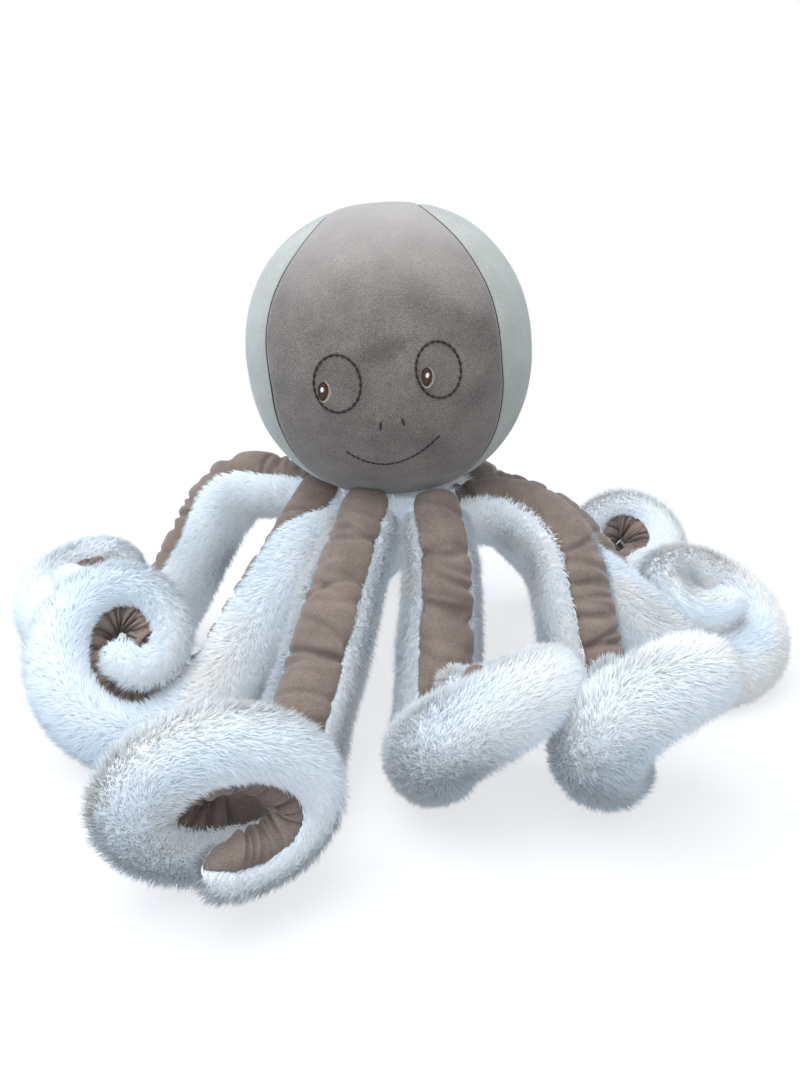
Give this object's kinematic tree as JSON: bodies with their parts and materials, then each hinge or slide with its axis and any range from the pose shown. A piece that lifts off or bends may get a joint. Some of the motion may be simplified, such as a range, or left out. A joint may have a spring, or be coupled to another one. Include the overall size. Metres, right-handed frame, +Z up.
{
  "type": "plush octopus",
  "caption": "Stuffed plush octopus: a round velour head with a stitched face on a ring of curled, long-pile arms with gathered velour strips.",
  "frame": {"origin": "on the ground, under the middle of the toy's outline", "axes": "+Z up, the face looks along -Y, +X is the viewer's right"},
  "size_m": [0.5382, 0.4964, 0.3184],
  "materials": {
    "taupe_velour": "short-pile polyester velour, brushed, matt with a soft sheen",
    "cream_velour": "short-pile polyester plush, matt",
    "long_pile_plush": "long-pile polyester plush, soft and matt",
    "stuffing": "polyester fibre",
    "dark_thread": "embroidery thread, slightly glossy"
  },
  "bodies": {
    "head": {"head_filling": "stuffing", "head_face_panel": "taupe_velour", "head_side_panel_left": "cream_velour", "head_side_panel_right": "cream_velour", "body_core": "long_pile_plush", "base_panel": "taupe_velour"},
    "arm_front_left": {"arm_front_left_plush": "long_pile_plush", "arm_front_left_strip": "taupe_velour", "arm_front_left_filling": "stuffing"},
    "arm_front_right": {"arm_front_right_plush": "long_pile_plush", "arm_front_right_strip": "taupe_velour", "arm_front_right_filling": "stuffing"},
    "arm_side_left": {"arm_side_left_plush": "long_pile_plush", "arm_side_left_strip": "taupe_velour", "arm_side_left_filling": "stuffing"},
    "arm_side_right": {"arm_side_right_plush": "long_pile_plush", "arm_side_right_strip": "taupe_velour", "arm_side_right_filling": "stuffing"},
    "arm_rear_left": {"arm_rear_left_plush": "long_pile_plush", "arm_rear_left_strip": "taupe_velour", "arm_rear_left_filling": "stuffing"},
    "arm_rear_right": {"arm_rear_right_plush": "long_pile_plush", "arm_rear_right_strip": "taupe_velour", "arm_rear_right_filling": "stuffing"},
    "arm_back_left": {"arm_back_left_plush": "long_pile_plush", "arm_back_left_strip": "taupe_velour", "arm_back_left_filling": "stuffing"},
    "arm_back_right": {"arm_back_right_plush": "long_pile_plush", "arm_back_right_strip": "taupe_velour", "arm_back_right_filling": "stuffing"}
  },
  "joints": [
    {"name": "arm_front_left_root", "type": "hinge", "parent": "head", "child": "arm_front_left", "pos_m": [-0.01465, -0.04473, 0.125], "axis": [-0.9239, 0.3827, 0], "range_deg": [-8, 40]},
    {"name": "arm_front_right_root", "type": "hinge", "parent": "head", "child": "arm_front_right", "pos_m": [0.02744, -0.04473, 0.125], "axis": [-0.9239, -0.3827, 0], "range_deg": [-8, 40]},
    {"name": "arm_side_left_root", "type": "hinge", "parent": "head", "child": "arm_side_left", "pos_m": [-0.04442, -0.01497, 0.125], "axis": [-0.3827, 0.9239, 0], "range_deg": [-8, 40]},
    {"name": "arm_side_right_root", "type": "hinge", "parent": "head", "child": "arm_side_right", "pos_m": [0.05721, -0.01497, 0.125], "axis": [-0.3827, -0.9239, 0], "range_deg": [-8, 40]},
    {"name": "arm_rear_left_root", "type": "hinge", "parent": "head", "child": "arm_rear_left", "pos_m": [-0.04442, 0.02713, 0.125], "axis": [0.3827, 0.9239, 0], "range_deg": [-8, 40]},
    {"name": "arm_rear_right_root", "type": "hinge", "parent": "head", "child": "arm_rear_right", "pos_m": [0.05721, 0.02713, 0.125], "axis": [0.3827, -0.9239, 0], "range_deg": [-8, 40]},
    {"name": "arm_back_left_root", "type": "hinge", "parent": "head", "child": "arm_back_left", "pos_m": [-0.01465, 0.0569, 0.125], "axis": [0.9239, 0.3827, 0], "range_deg": [-8, 40]},
    {"name": "arm_back_right_root", "type": "hinge", "parent": "head", "child": "arm_back_right", "pos_m": [0.02744, 0.0569, 0.125], "axis": [0.9239, -0.3827, 0], "range_deg": [-8, 40]}
  ]
}
